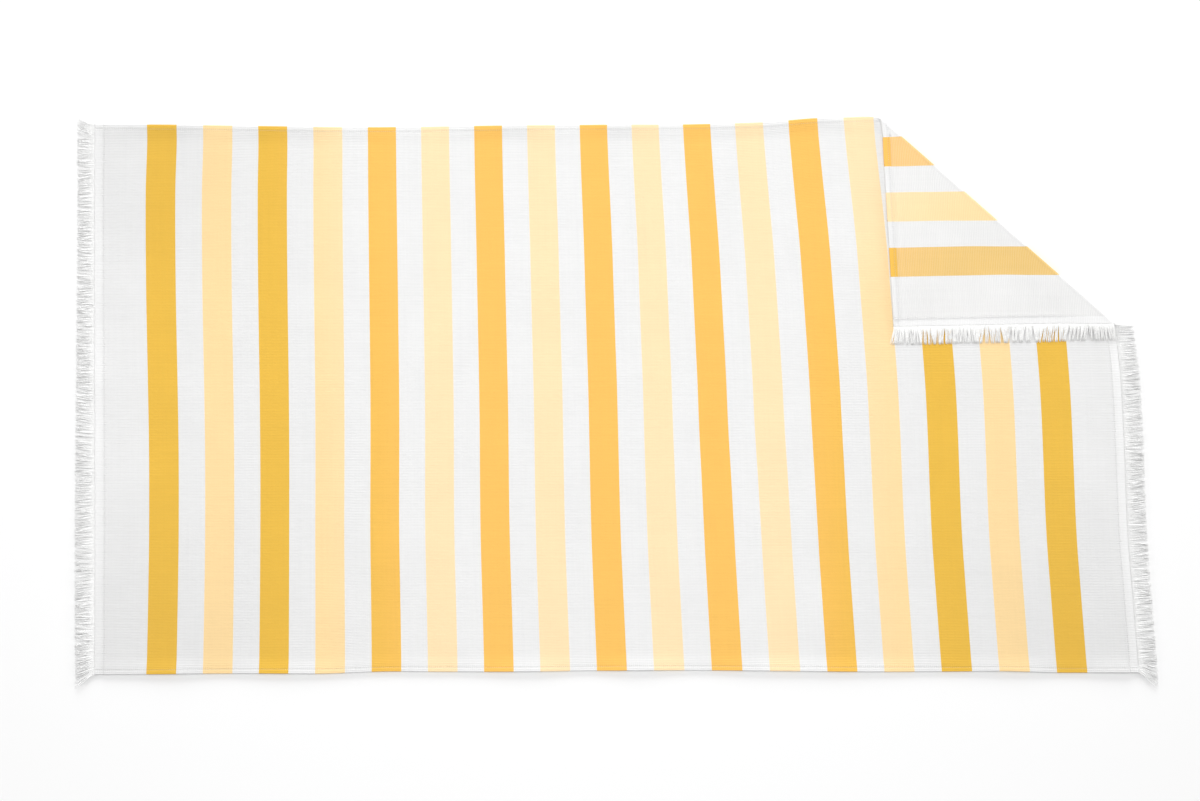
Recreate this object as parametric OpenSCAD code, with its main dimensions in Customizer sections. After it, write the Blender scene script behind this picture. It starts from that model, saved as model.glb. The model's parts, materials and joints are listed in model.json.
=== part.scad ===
// Fringed, striped beach towel lying flat on its back, with one far corner folded over onto the front.
// X runs along the length, Y across the width, Z up. The origin is on the underside, mid width,
// under the middle stripe. Millimetres.
//
// The towel is drawn flat first. "u" is a distance along the length measured on the near side, and
// the far side lies a little shorter than the near side, so the stripes fan. The crease then cuts the
// towel in two, and the corner beyond it is turned half a turn about the crease's axis.

/* [Cloth] */
// Width of the towel between its two long sides
towel_w = 900; // [600:10:1000]
// Thickness of the cloth with its pile
cloth_t = 2.5; // [1.5:0.1:4]

/* [Stripes] */
// Width of each coloured stripe, along the length of the towel
stripe_w = 49; // [30:1:60]
// Width of the white ground between two stripes
gap_w = 44; // [30:1:60]
// Number of stripes, gold and pale in turn, gold at both ends
stripe_count = 17; // [11:2:19]

/* [Ends] */
// White band between the last stripe and the heading
end_band = 71; // [40:1:120]
// Width of the thin plain-woven heading that holds the fringe
heading_w = 12; // [3:0.5:20]
// Thickness of the heading
heading_t = 1.6; // [0.8:0.1:2.4]
// Length of the fringe beyond the heading
fringe_len = 32; // [10:1:80]
// Thickness of one bunch of fringe yarn
yarn_d = 1.8; // [0.8:0.1:2.4]
// Distance from one bunch of fringe yarn to the next
yarn_pitch = 5.5; // [3:0.5:10]

/* [Hems and stitching] */
// Width of the hem turned under along each long side
hem_w = 10; // [6:0.5:20]
// How much the turned hem adds to the thickness of the cloth
hem_extra = 0.8; // [0.3:0.1:2]
// Distance from the long side to the hem's row of stitches
hem_stitch_in = 7; // [2:0.5:9]
// Distance from the heading to the end's row of stitches
end_stitch_in = 1.5; // [1:0.5:5]
// Width of a row of stitches
thread_w = 0.8; // [0.4:0.1:1.5]
// How far a row of stitches stands out of the cloth
thread_t = 0.25; // [0.1:0.05:0.5]

/* [Lay] */
// How much shorter the far side lies than the near side
gather = 75; // [0:5:90]
// Length of towel, about its middle, over which that shortening is taken up
gather_run = 1000; // [600:50:1400]
// Distance from the folded corner to the crease, along the far side
fold_far = 344; // [200:2:380]
// Distance from the folded corner to the crease, along the end
fold_end = 352; // [200:2:380]
// Angle by which the far side of the folded corner turns outward at the crease
corner_lift = 4; // [0:0.5:6]

/* [Hidden] */
// Free height between the hem below and the hem folded onto it
lap_gap = 0.3;
// Gap between the flat cloth and the turned corner at the crease, so that they never touch
crease_cut = 0.05;
// Space left between a yarn and the crease or the end of its edge
yarn_margin = 2;
stripe_pitch = stripe_w + gap_w;
striped_l = stripe_count * stripe_w + (stripe_count - 1) * gap_w;
cloth_l = striped_l + 2 * (end_band + heading_w);
half_w = towel_w / 2;
half_l = cloth_l / 2;
heading_u = half_l - heading_w;
stripes_u = striped_l / 2;
hem_t = cloth_t + hem_extra;
// Height of the crease's axis: the two hems lap there without touching, and open flat to one level
axis_z = hem_t + thread_t + lap_gap / 2;
// More than any length in the towel, for the blocks that cut it at the crease
beyond = 2 * cloth_l;

// The corner while flat, then the two ends of the crease: on the far side and on the right end
lift_y = fold_far * sin(corner_lift);
corner_xy = [half_l - gather * (1 + lift_y / towel_w), half_w + lift_y];
near_right_xy = [half_l, -half_w];
end_dir = (near_right_xy - corner_xy) / norm(near_right_xy - corner_xy);
crease_far_xy = corner_xy - fold_far * [cos(corner_lift), sin(corner_lift)];
crease_end_xy = corner_xy + fold_end * end_dir;
crease_vec = crease_end_xy - crease_far_xy;
crease_l = norm(crease_vec);
crease_angle = atan2(crease_vec.y, crease_vec.x);

white = [0.96, 0.96, 0.96];
gold = [0.98, 0.79, 0.41];
pale = [1.0, 0.91, 0.72];

// ---- Plan of the flat towel ----

// Share of the gather taken up at u: none before its run, all after it, and a smooth rise between
function gather_share(u) =
    let (t = min(1, max(0, u / gather_run + 0.5)))
    t * t * (3 - 2 * t);

// Sideways slope of the line across the towel that starts at u on the near side
function lean(u) = -gather * gather_share(u) / towel_w;

// Point at height y on the line across the towel that starts at u
function plan(u, y) = [u + lean(u) * (y + half_w), y];

// Point on that line, a distance "inset" in from the far side of the corner beyond the crease
function corner_plan(u, inset) =
    let (slope = tan(corner_lift))
    let (edge_y = half_w - inset / cos(corner_lift))
    let (x = (u + lean(u) * (edge_y + half_w - slope * crease_far_xy.x)) / (1 - lean(u) * slope))
    [x, edge_y + slope * (x - crease_far_xy.x)];

// Outline of the cloth from u0 to u1 that lies between two heights
function strip(u0, u1, y0, y1) = [plan(u0, y0), plan(u1, y0), plan(u1, y1), plan(u0, y1)];

// The same beyond the crease, from the near side to "inset1", or between two insets
function corner_strip(u0, u1, inset0, inset1) =
    [corner_plan(u0, inset0), corner_plan(u1, inset0), corner_plan(u1, inset1), corner_plan(u0, inset1)];

// Where stripe k begins, and whether a band that ends at u1 reaches over the crease
function stripe_u(k) = -stripes_u + k * stripe_pitch;
function over_crease(u1) = corner_plan(u1, 0).x > crease_far_xy.x + crease_cut;

// ---- Cutting at the crease, and folding ----

// Keeps what lies on the flat side of the crease (side -1), or beyond it (side 1)
module on_side(side) {
    intersection() {
        children();
        translate(crease_far_xy)
            rotate(crease_angle)
                translate([0, side * (beyond / 2 + crease_cut), 0])
                    cube([2 * beyond, beyond, 4 * axis_z], center = true);
    }
}

// Turns the corner half a turn about the crease's axis
module folded() {
    translate([crease_far_xy.x, crease_far_xy.y, axis_z])
        rotate(180, [cos(crease_angle), sin(crease_angle), 0])
            translate([-crease_far_xy.x, -crease_far_xy.y, -axis_z])
                children();
}

// Half a tube about the axis, which carries the cloth round the crease
module crease_roll() {
    translate([crease_far_xy.x, crease_far_xy.y, axis_z])
        rotate([0, 90, crease_angle])
            intersection() {
                difference() {
                    cylinder(r = axis_z, h = crease_l, $fn = 64);
                    translate([0, 0, -1])
                        cylinder(r = axis_z - cloth_t, h = crease_l + 2, $fn = 64);
                }
                translate([-beyond / 2, 0, -1])
                    cube([beyond, beyond, crease_l + 2]);
            }
}

// ---- Cloth ----

// A slab of cloth of the given outline
module slab(outline, t) {
    linear_extrude(t)
        polygon(outline);
}

// One band right across the towel, thicker at its two hems
module band(u0, u1) {
    slab(strip(u0, u1, -half_w, half_w), cloth_t);
    slab(strip(u0, u1, -half_w, -half_w + hem_w), hem_t);
    slab(strip(u0, u1, half_w - hem_w, half_w), hem_t);
}

// The part of a band that lies beyond the crease, still flat
module corner_band(u0, u1) {
    slab(corner_strip(u0, u1, towel_w, 0), cloth_t);
    slab(corner_strip(u0, u1, hem_w, 0), hem_t);
}

module flat_band(u0, u1) {
    if (over_crease(u1))
        on_side(-1) union() band(u0, u1);
    else
        band(u0, u1);
}

module folded_band(u0, u1) {
    if (over_crease(u1))
        folded() on_side(1) union() corner_band(u0, u1);
}

// The part of the crease's roll that belongs to one band
module rolled_band(u0, u1) {
    if (over_crease(u1))
        intersection() {
            crease_roll();
            slab(strip(u0, u1, -towel_w, towel_w), 4 * axis_z);
        }
}

// Every second stripe from the first one, and the white ground between stripes
module each_stripe(first) {
    for (k = [first : 2 : stripe_count - 1]) {
        $u0 = stripe_u(k);
        $u1 = stripe_u(k) + stripe_w;
        children();
    }
}

module each_gap() {
    for (k = [0 : stripe_count - 2]) {
        $u0 = stripe_u(k) + stripe_w;
        $u1 = stripe_u(k + 1);
        children();
    }
}

module white_ground() { color(white) each_gap() flat_band($u0, $u1); }
module gold_stripes() { color(gold) each_stripe(0) flat_band($u0, $u1); }
module pale_stripes() { color(pale) each_stripe(1) flat_band($u0, $u1); }
module left_end_band() { color(white) band(-heading_u, -stripes_u); }
module right_end_band() { color(white) flat_band(stripes_u, heading_u); }

module corner_white_ground() { color(white) each_gap() folded_band($u0, $u1); }
module corner_gold_stripes() { color(gold) each_stripe(0) folded_band($u0, $u1); }
module corner_pale_stripe() { color(pale) each_stripe(1) folded_band($u0, $u1); }
module corner_end_band() { color(white) folded_band(stripes_u, heading_u); }

module crease_white() {
    color(white) {
        each_gap() rolled_band($u0, $u1);
        rolled_band(stripes_u, heading_u);
    }
}
module crease_gold() { color(gold) each_stripe(0) rolled_band($u0, $u1); }
module crease_pale() { color(pale) each_stripe(1) rolled_band($u0, $u1); }

// ---- Headings and fringe ----

module left_heading() {
    color(white)
        slab(strip(-half_l, -heading_u, -half_w, half_w), heading_t);
}

module right_heading() {
    color(white)
        on_side(-1) slab(strip(heading_u, half_l, -half_w, half_w), heading_t);
}

module corner_heading() {
    color(white)
        folded() on_side(1) slab(corner_strip(heading_u, half_l, towel_w, 0), heading_t);
}

// Yarns stand out to the right of a line of the given length that runs along +Y, resting on Z = 0
module fringe_row(from, to) {
    count = floor((to - from - 2 * yarn_margin) / yarn_pitch);
    start = (from + to - count * yarn_pitch) / 2;
    for (i = [0 : count])
        translate([0, start + i * yarn_pitch, yarn_d * cos(30) / 2])
            rotate([0, 90, 0])
                rotate(30)
                    cylinder(d = yarn_d, h = fringe_len, $fn = 6);
}

// Places a row so that it starts at the near right corner and follows the right end
module along_right_end() {
    translate(near_right_xy)
        rotate(atan2(-end_dir.y, -end_dir.x) - 90)
            children();
}

module left_fringe() {
    color(white)
        translate([-half_l, 0, 0])
            mirror([1, 0, 0])
                fringe_row(-half_w, half_w);
}

module right_fringe() {
    color(white)
        along_right_end() fringe_row(0, norm(crease_end_xy - near_right_xy));
}

module corner_fringe() {
    color(white)
        folded() along_right_end()
            fringe_row(norm(crease_end_xy - near_right_xy), norm(corner_xy - near_right_xy));
}

// ---- Rows of stitches, on the front of the cloth ----

module near_hem_thread() {
    y = -half_w + hem_stitch_in;
    color(white)
        translate([0, 0, hem_t])
            slab(strip(-heading_u, heading_u, y - thread_w / 2, y + thread_w / 2), thread_t);
}

module far_hem_thread() {
    y = half_w - hem_stitch_in;
    color(white)
        on_side(-1) translate([0, 0, hem_t])
            slab(strip(-heading_u, heading_u, y - thread_w / 2, y + thread_w / 2), thread_t);
}

module corner_hem_thread() {
    inner = hem_stitch_in + thread_w / 2;
    color(white)
        folded() on_side(1) translate([0, 0, hem_t])
            slab(corner_strip(0, heading_u, inner, inner - thread_w), thread_t);
}

module left_end_thread() {
    u = -heading_u + end_stitch_in;
    color(white)
        translate([0, 0, cloth_t])
            slab(strip(u, u + thread_w, -half_w + hem_w, half_w - hem_w), thread_t);
}

module right_end_thread() {
    u = heading_u - end_stitch_in;
    color(white)
        on_side(-1) translate([0, 0, cloth_t])
            slab(strip(u - thread_w, u, -half_w + hem_w, half_w - hem_w), thread_t);
}

module corner_end_thread() {
    u = heading_u - end_stitch_in;
    color(white)
        folded() on_side(1) translate([0, 0, cloth_t])
            slab(corner_strip(u - thread_w, u, towel_w, hem_w), thread_t);
}

white_ground();
gold_stripes();
pale_stripes();
left_end_band();
right_end_band();
left_heading();
right_heading();
left_fringe();
right_fringe();
near_hem_thread();
far_hem_thread();
left_end_thread();
right_end_thread();
crease_white();
crease_gold();
crease_pale();
corner_white_ground();
corner_gold_stripes();
corner_pale_stripe();
corner_end_band();
corner_heading();
corner_fringe();
corner_hem_thread();
corner_end_thread();
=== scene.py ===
import json
import math

import bmesh
import bpy
import numpy as np
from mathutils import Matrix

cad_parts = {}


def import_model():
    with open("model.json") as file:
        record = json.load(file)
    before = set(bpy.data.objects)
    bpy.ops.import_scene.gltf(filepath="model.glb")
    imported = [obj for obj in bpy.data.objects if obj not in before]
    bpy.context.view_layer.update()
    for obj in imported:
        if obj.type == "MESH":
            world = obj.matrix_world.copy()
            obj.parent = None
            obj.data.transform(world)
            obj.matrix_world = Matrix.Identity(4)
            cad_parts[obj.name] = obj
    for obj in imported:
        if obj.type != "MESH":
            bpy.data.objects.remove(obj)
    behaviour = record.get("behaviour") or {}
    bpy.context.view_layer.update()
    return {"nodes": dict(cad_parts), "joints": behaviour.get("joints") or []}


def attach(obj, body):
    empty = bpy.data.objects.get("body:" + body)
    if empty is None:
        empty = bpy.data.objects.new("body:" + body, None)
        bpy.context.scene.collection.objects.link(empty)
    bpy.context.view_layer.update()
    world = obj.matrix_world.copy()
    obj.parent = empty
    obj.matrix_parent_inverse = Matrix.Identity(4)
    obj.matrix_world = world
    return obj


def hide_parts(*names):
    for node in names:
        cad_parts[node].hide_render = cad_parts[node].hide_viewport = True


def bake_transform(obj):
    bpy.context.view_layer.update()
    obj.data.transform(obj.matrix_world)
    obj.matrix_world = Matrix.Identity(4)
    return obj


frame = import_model()
rng = np.random.default_rng(11)
print("frame loaded, with", len(frame["nodes"]), "solids")

# Sizes of the towel before it is folded, in metres, the same as the solid part's.
towel = {
    "width": 0.9,
    "cloth": 0.0025,
    "stripe": 0.049,
    "gap": 0.044,
    "stripes": 17,
    "endBand": 0.071,
    "heading": 0.012,
    "headingThick": 0.0016,
    "fringe": 0.032,
    "hem": 0.010,
    "hemThick": 0.0033,
    "hemRise": 0.024,
    "hemStitch": 0.007,
    "endStitch": 0.0018,
}
pitch = towel["stripe"] + towel["gap"]
stripedHalf = (towel["stripes"] * towel["stripe"] + (towel["stripes"] - 1) * towel["gap"]) / 2
headingU = stripedHalf + towel["endBand"]
endU = headingU + towel["heading"]
halfWidth = towel["width"] / 2

# How the towel lies: what the far side is short by, how its sides and stripes wander, and how high it waves.
# A name in Ramp holds a start and a run: 0 up to the start, 1 from a run beyond it. One in Hump holds a middle
# and a width. One in Ripple holds a height, how fast it turns, and where it starts.
lay = {
    "gather": 0.075,
    "gatherRun": 1.0,
    "slack": 0.009,
    "slackAt": 0.1,
    "slackLean": 0.4,
    "slackWide": 0.5,
    "slackNarrows": 0.22,
    "wander": 0.003,
    "wanderOutRamp": (-0.8, 0.55),
    "wanderPhase": 0.57,
    "wanderFarHold": 8,
    "leftShift": 0.0028,
    "leftShiftOutRamp": (-0.78, 0.3),
    "leftHoldRamp": (-0.86, 0.06),
    "pullFar": 0.0040,
    "pullNear": 0.0030,
    "pullSplit": 0.36,
    "pullTurnRamp": (0.22, 0.28),
    "pullHump": (0.27, 0.18),
    "pullFade": 0.55,
    "pullFadeRamp": (0.8, 0.2),
    "smallPull": 0.0020,
    "smallAlongHump": (-0.35, 0.2),
    "smallAcrossHump": (0.26, 0.16),
    "bulge": 0.0095,
    "bulgeRamp": (0.2, 0.35),
    "bulgeFade": 0.6,
    "bulgeFadeRamp": (0.75, 0.25),
    "bulgeOutRamp": (-0.06, 0.12),
    "rise": 0.0075,
    "riseRamp": (0.15, 0.4),
    "riseOutRamp": (-0.03, 0.05),
    "spread": 0.105,
    "spreadSoft": 0.02,
    "spreadFade": 0.3,
    "spreadFadeRun": 0.1,
    "tuck": 0.042,
    "nearRipple": (0.0012, 9, 0.6),
    "farRipple": (0.0022, 2.4, -0.3),
    "rippleOutRamp": (-0.1, 0.1),
    "farSag": 0.0038,
    "farDip": 0.0034,
    "farDipHump": (-0.42, 0.22),
    "farSagOutRamp": (0.3, 0.1),
    "nearRise": 0.0038,
    "nearDrop": 0.0014,
    "nearRiseRamp": (-0.5, 0.15),
    "nearRiseOutRamp": (0.62, 0.12),
    "wave": 0.0009,
    "waveRows": ((21, 9, 0.4), (-13, 24, 2.1), (37, -6, 4.0), (8, 41, 1.2)),
    "edgeLift": 0.0020,
    "edgeWide": 0.014,
    "sideLift": {"mean": 0.55, "swing": 0.45, "turns": 23, "warp": 1.5, "warpTurns": 9},
    "endLift": {"mean": 0.35, "swing": 0.3, "turns": 31, "warp": 2, "warpTurns": 11},
}

# The fold: its hinge comes from the part, and the rest says how softly the corner lies back on the towel.
fold = {
    "strip": 0.012,
    "rollSpread": 0.080,
    "gap": 0.0004,
    "puff": 0.0010,
    "puffRows": ((0.6, 30, 5, 0.9), (0.4, 17, -22, 0.3)),
    "edgeLiftShare": 0.3,
    "sinkRun": 0.055,
    "still": 0.05,
    "cuts": 9,
    "shadeWide": 0.005,
    "turnInset": 0.0018,
}
hinge = frame["joints"][0]
creaseStart = np.array(hinge["pos_m"])
creaseAlong = -np.array(hinge["axis"])  # from the far side towards the right end
creaseOut = np.array([-creaseAlong[1], creaseAlong[0], 0.0])  # from the towel towards the flat corner
axisZ = creaseStart[2]
rollLength = math.pi * (axisZ - towel["cloth"] / 2)


def ease(t):
    # Three t squared less two t cubed, with t held between 0 and 1.
    t = np.clip(t, 0, 1)
    return t * t * (3 - 2 * t)


def bump(distance, width):
    # e to the minus (distance over width) squared: a smooth hump about 0.
    return np.exp(-((distance / width) ** 2))


def after(value, start, run):
    # 0 up to the start, 1 from a run beyond it, and smooth between.
    return ease((value - start) / run)


def before(value, start, run):
    # 1 less the ramp above.
    return 1 - after(value, start, run)


def uneven(place, mean, swing, turns, warp, warpTurns):
    # The mean plus the swing times a sine, whose angle is itself pushed to and fro by a slower sine.
    return mean + swing * np.sin(turns * place + warp * np.sin(warpTurns * place))


def beyondCrease(x, y):
    # Distance beyond the crease's line, positive on the corner that is folded.
    return (x - creaseStart[0]) * creaseOut[0] + (y - creaseStart[1]) * creaseOut[1]


def drawnAlong(u, t):
    # How far a place is pushed along the towel: a slow sine at the left end and a shift that both die out from it,
    # less two pulls that are humps along the towel and change sides across it. t is the share of the width.
    sway = lay["wander"] * before(u, *lay["wanderOutRamp"]) * np.sin(2 * np.pi * (lay["wanderPhase"] - t))
    sway = sway * ease(lay["wanderFarHold"] * (1 - t))
    sway = (sway + lay["leftShift"] * before(u, *lay["leftShiftOutRamp"])) * after(u, *lay["leftHoldRamp"])
    pull = np.where(t > lay["pullSplit"], lay["pullFar"], lay["pullNear"]) * (2 * after(t, *lay["pullTurnRamp"]) - 1)
    at, wide = lay["pullHump"]
    sway = sway - pull * bump(u - at, wide) * (1 - lay["pullFade"] * after(t, *lay["pullFadeRamp"]))
    (at, wide), (acrossAt, acrossWide) = lay["smallAlongHump"], lay["smallAcrossHump"]
    return sway - lay["smallPull"] * bump(u - at, wide) * bump(t - acrossAt, acrossWide)


def drawnAcross(u, t, c):
    # How far a place is pushed across the towel: the far side raised near the corner, the near side raised in the
    # middle and dropped at the left, the far side let down, and a ripple at each side. c is beyond the crease.
    toFar, toNear = ease(2 * t - 1), ease(1 - 2 * t)
    rise = lay["rise"] * after(u, *lay["riseRamp"]) * ease(t) ** 2 * before(c, *lay["riseOutRamp"])
    height, turns, start = lay["nearRipple"]
    farHeight, farTurns, farAt = lay["farRipple"]
    ripple = height * np.sin(turns * u + start) * toNear - farHeight * toFar * np.cos(farTurns * (u - farAt))
    at, wide = lay["farDipHump"]
    sag = (lay["farSag"] + lay["farDip"] * bump(u - at, wide)) * before(u, *lay["farSagOutRamp"]) * toFar
    middle = after(u, *lay["nearRiseRamp"]) * before(u, *lay["nearRiseOutRamp"])
    lift = (lay["nearRise"] * middle - lay["nearDrop"] * before(u, *lay["nearRiseRamp"])) * toNear
    return rise + lift - sag + ripple * before(c, *lay["rippleOutRamp"])


def layFlat(u, v):
    # x = u, less the slack, less the gather times the share of the width, plus what draws it along, plus a bulge
    # that ends at the crease. y = v plus what draws it across. Beyond the crease the cloth is spread outward in y
    # and drawn back in x, both in proportion to the distance from it, by (c + root of c squared + soft squared) / 2.
    t = v / towel["width"] + 0.5
    share = ease(u / lay["gatherRun"] + 0.5)
    slackWide = lay["slackWide"] - lay["slackNarrows"] * t
    slack = lay["slack"] * bump(u - lay["slackAt"] + lay["slackLean"] * t, slackWide)
    x = u - slack - lay["gather"] * share * t + drawnAlong(u, t)
    c = beyondCrease(x, v)
    fullBulge = share * after(t, *lay["bulgeRamp"]) * (1 - lay["bulgeFade"] * after(t, *lay["bulgeFadeRamp"]))
    x = x + lay["bulge"] * fullBulge * before(c, *lay["bulgeOutRamp"])
    beyond = (c + np.sqrt(c * c + lay["spreadSoft"] ** 2)) / 2
    spread = lay["spread"] * beyond * (1 - lay["spreadFade"] * ease(-c / lay["spreadFadeRun"]))
    y = v + spread + drawnAcross(u, t, c)
    return x - lay["gather"] / towel["width"] * share * spread - lay["tuck"] * beyond, y


def floorWave(x, y):
    # Half of (1 + the mean of four slow sines), times the wave's height: never below the floor.
    mean = sum(np.sin(byX * x + byY * y + start) for byX, byY, start in lay["waveRows"]) / len(lay["waveRows"])
    return lay["wave"] * 0.5 * (1 + mean)


def cornerPuff(x, y):
    # Soft folds that run down the folded corner: the squares of two slow sines, in shares.
    rows = fold["puffRows"]
    return fold["puff"] * sum(share * np.sin(byX * x + byY * y + start) ** 2 for share, byX, byY, start in rows)


def edgeLift(u, v):
    # The edges stand a little off the floor, by a hump that fades inward, and more in some places than in others.
    sideways = bump(halfWidth - np.abs(v), lay["edgeWide"]) * uneven(u, **lay["sideLift"])
    endways = bump(endU - np.abs(u), lay["edgeWide"]) * uneven(v, **lay["endLift"])
    return lay["edgeLift"] * np.maximum(sideways, endways)


def frontHeight(v, half):
    # The face's height over the floor: the cloth's thickness, rising smoothly over the hem that lies behind it.
    toHem = ease((towel["hemRise"] - halfWidth + np.abs(v)) / (towel["hemRise"] - towel["hem"]))
    face = towel["cloth"] + (towel["hemThick"] - towel["cloth"]) * toHem
    heading = half < (towel["headingThick"] + towel["cloth"]) / 4
    return np.where(heading, 2 * half, face)


def clothMid(u, v, half):
    # The flat place is split into a distance along the crease and one beyond it. The second runs along the floor,
    # round half a circle about the hinge's axis, and back over the towel, where it sinks until it rests on it.
    x, y = layFlat(u, v)
    c = beyondCrease(x, y)
    along = (x - creaseStart[0]) * creaseAlong[0] + (y - creaseStart[1]) * creaseAlong[1]
    s = c + rollLength * ease(c / fold["rollSpread"] + 0.5)
    turn = np.clip(s / rollLength, 0, 1) * np.pi
    radius = axisZ - frontHeight(v, half) + half
    out = np.where(s < 0, s, np.where(s > rollLength, rollLength - s, radius * np.sin(turn)))
    place = creaseStart + np.multiply.outer(along, creaseAlong) + np.multiply.outer(out, creaseOut)
    z = axisZ - radius * np.cos(turn)
    away = ease((-out - fold["strip"]) / fold["still"])
    wave = floorWave(place[..., 0], place[..., 1])
    lift = edgeLift(u, v)
    puff = cornerPuff(place[..., 0], place[..., 1]) + fold["edgeLiftShare"] * lift
    onTowel = towel["cloth"] + fold["gap"] + wave + puff + half
    sink = ease((-out - fold["strip"]) / fold["sinkRun"])
    folded = z + (onTowel - z) * sink
    flat = z + (wave + lift) * away
    place[..., 2] = np.where(s > rollLength / 2, folded, flat)
    return place


def clothNormal(u, v, half):
    # Cross product of the two small steps along and across the cloth, brought to length 1: out of the front.
    step = 2e-4
    byU = clothMid(u + step, v, half) - clothMid(u - step, v, half)
    byV = clothMid(u, v + step, half) - clothMid(u, v - step, half)
    n = np.cross(byU, byV)
    return n / np.linalg.norm(n, axis=-1, keepdims=True)


# Where the crease's line meets the right end, as a distance across the flat towel.
searchV = np.linspace(-halfWidth, halfWidth, 2001)
creaseEndV = float(np.interp(0, beyondCrease(*layFlat(np.full(2001, endU), searchV)), searchV))
print("crease meets the end at", round(creaseEndV, 4))


def newMaterial(name):
    # An empty material, with its nodes and the shader that they feed.
    material = bpy.data.materials.new(name)
    material.use_nodes = True
    return material, material.node_tree, material.node_tree.nodes["Principled BSDF"]


class NodeBench:
    # Short calls that add a node to a material and join it up.
    def __init__(self, tree):
        self.tree = tree

    def add(self, kind, settings=None, inputs=None):
        node = self.tree.nodes.new(kind)
        for key, value in (settings or {}).items():
            setattr(node, key, value)
        for key, value in (inputs or {}).items():
            if isinstance(value, bpy.types.NodeSocket):
                self.tree.links.new(value, node.inputs[key])
            else:
                node.inputs[key].default_value = value
        return node

    def math(self, operation, a, b=0.0, c=0.0, clamp=False):
        settings = {"operation": operation, "use_clamp": clamp}
        return self.add("ShaderNodeMath", settings, {0: a, 1: b, 2: c}).outputs[0]

    def total(self, start, *parts):
        # the start plus each pattern times its amount
        for pattern, amount in parts:
            start = self.math("MULTIPLY_ADD", pattern, amount, start)
        return start

    def noise(self, vector, scale, detail=2.0, roughness=0.5):
        inputs = {"Vector": vector, "Scale": scale, "Detail": detail, "Roughness": roughness}
        return self.add("ShaderNodeTexNoise", {"noise_dimensions": "3D"}, inputs).outputs["Fac"]

    def bands(self, vector, direction, period, distortion=0.0):
        # the wave texture turns once in 2 pi / 20 at scale 1
        settings = {"wave_type": "BANDS", "bands_direction": direction}
        scale = 2 * math.pi / (20 * period)
        inputs = {"Vector": vector, "Scale": scale, "Distortion": distortion, "Detail": 1.0, "Detail Scale": 0.4}
        return self.add("ShaderNodeTexWave", settings, inputs).outputs["Fac"]

    def stretch(self, vector, scale):
        return self.add("ShaderNodeMapping", {}, {"Vector": vector, "Scale": scale}).outputs["Vector"]

    def step(self, value, low, high):
        # 0 up to the low value, 1 from the high one, smooth between
        inputs = {"Value": value, "From Min": low, "From Max": high}
        return self.add("ShaderNodeMapRange", {"interpolation_type": "SMOOTHSTEP"}, inputs).outputs["Result"]

    def ridge(self, value, centre, width):
        # 1 at the centre, falling smoothly to 0 a width away on either side
        gap = self.math("ABSOLUTE", self.math("SUBTRACT", value, centre))
        settings = {"interpolation_type": "SMOOTHSTEP"}
        inputs = {"Value": gap, "From Min": 0.0, "From Max": width, "To Min": 1.0, "To Max": 0.0}
        return self.add("ShaderNodeMapRange", settings, inputs).outputs["Result"]

    def mix(self, share, a, b, blend="MIX"):
        node = self.add("ShaderNodeMix", {"data_type": "RGBA", "blend_type": blend})
        for key, value in ((0, share), (6, a), (7, b)):
            if isinstance(value, bpy.types.NodeSocket):
                self.tree.links.new(value, node.inputs[key])
            else:
                node.inputs[key].default_value = value
        return node.outputs[2]


# What the woven cloth looks like. Pitches are in metres, tones are shares of the yarn's own brightness.
weave = {
    "rib": 0.0026,
    "ribWarp": 1.2,
    "weft": 0.0011,
    "weftWarp": 0.6,
    "pile": 1100.0,
    "streak": (9.0, 330.0, 1.0),
    "cross": (260.0, 6.0, 1.0),
    "cloud": 11.0,
    "plainTone": 0.855,
    "streakTone": 0.07,
    "crossTone": 0.05,
    "cloudTone": 0.07,
    "ribTone": 0.04,
    "pileTone": 0.06,
    "hemSeamWide": 0.0019,
    "endSeamWide": 0.0017,
    "puckerPitch": 0.0032,
    "puckerWarp": 2.0,
    "hemPuckerWide": 0.008,
    "endPuckerWide": 0.006,
    # painted shade: in the seams' grooves, towards the outer corners where the light falls off, and along the
    # crease's rim
    "seamShade": 0.06,
    "backSeamShade": 0.02,
    "cornerShade": 0.06,
    "cornerAlong": (0.40, 0.80),
    "cornerAcross": (0.08, 0.42),
    "foldClear": 20.0,
    "creaseShade": 0.09,
    "hemLight": 0.03,
    "hemLightRun": 0.0015,
    # the mix towards the ends' colour, which is partly dye and partly painted shade for light falling off towards
    # the ends and near side
    "lotStart": 0.30,
    "lotEnd": 0.55,
    "nearFalloffSlant": 0.1,
    "farLot": 1.2,
    "farLotFrom": 0.15,
    "frontFleck": 0.35,
    "backFleck": 0.27,
    "bumpHeight": 0.00035,
    "bumpStrength": 0.8,
    "ribHeight": 0.55,
    "weftHeight": 0.22,
    "pileHeight": 0.45,
    "backPileHeight": 0.6,
    "puckerHeight": 0.6,
    "seamDepth": 1.2,
    "backSeamDepth": 0.2,
    "roughness": 0.92,
    "sheen": 0.12,
    "sheenRoughness": 0.5,
    "specular": 0.2,
}


def seamMarks(bench, uv, u, v):
    # A groove at each row of stitches, and the small puckers on either side of it.
    hemLine, endLine = halfWidth - towel["hemStitch"], headingU - towel["endStitch"]
    hemSeam = bench.ridge(v, hemLine, weave["hemSeamWide"])
    endSeam = bench.ridge(u, endLine, weave["endSeamWide"])
    hemPuckers = bench.bands(uv, "X", weave["puckerPitch"], weave["puckerWarp"])
    endPuckers = bench.bands(uv, "Y", weave["puckerPitch"], weave["puckerWarp"])
    hemPucker = bench.math("MULTIPLY", bench.ridge(v, hemLine, weave["hemPuckerWide"]), hemPuckers)
    endPucker = bench.math("MULTIPLY", bench.ridge(u, endLine, weave["endPuckerWide"]), endPuckers)
    return bench.math("MAXIMUM", hemSeam, endSeam), bench.math("MAXIMUM", hemPucker, endPucker)


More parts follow.
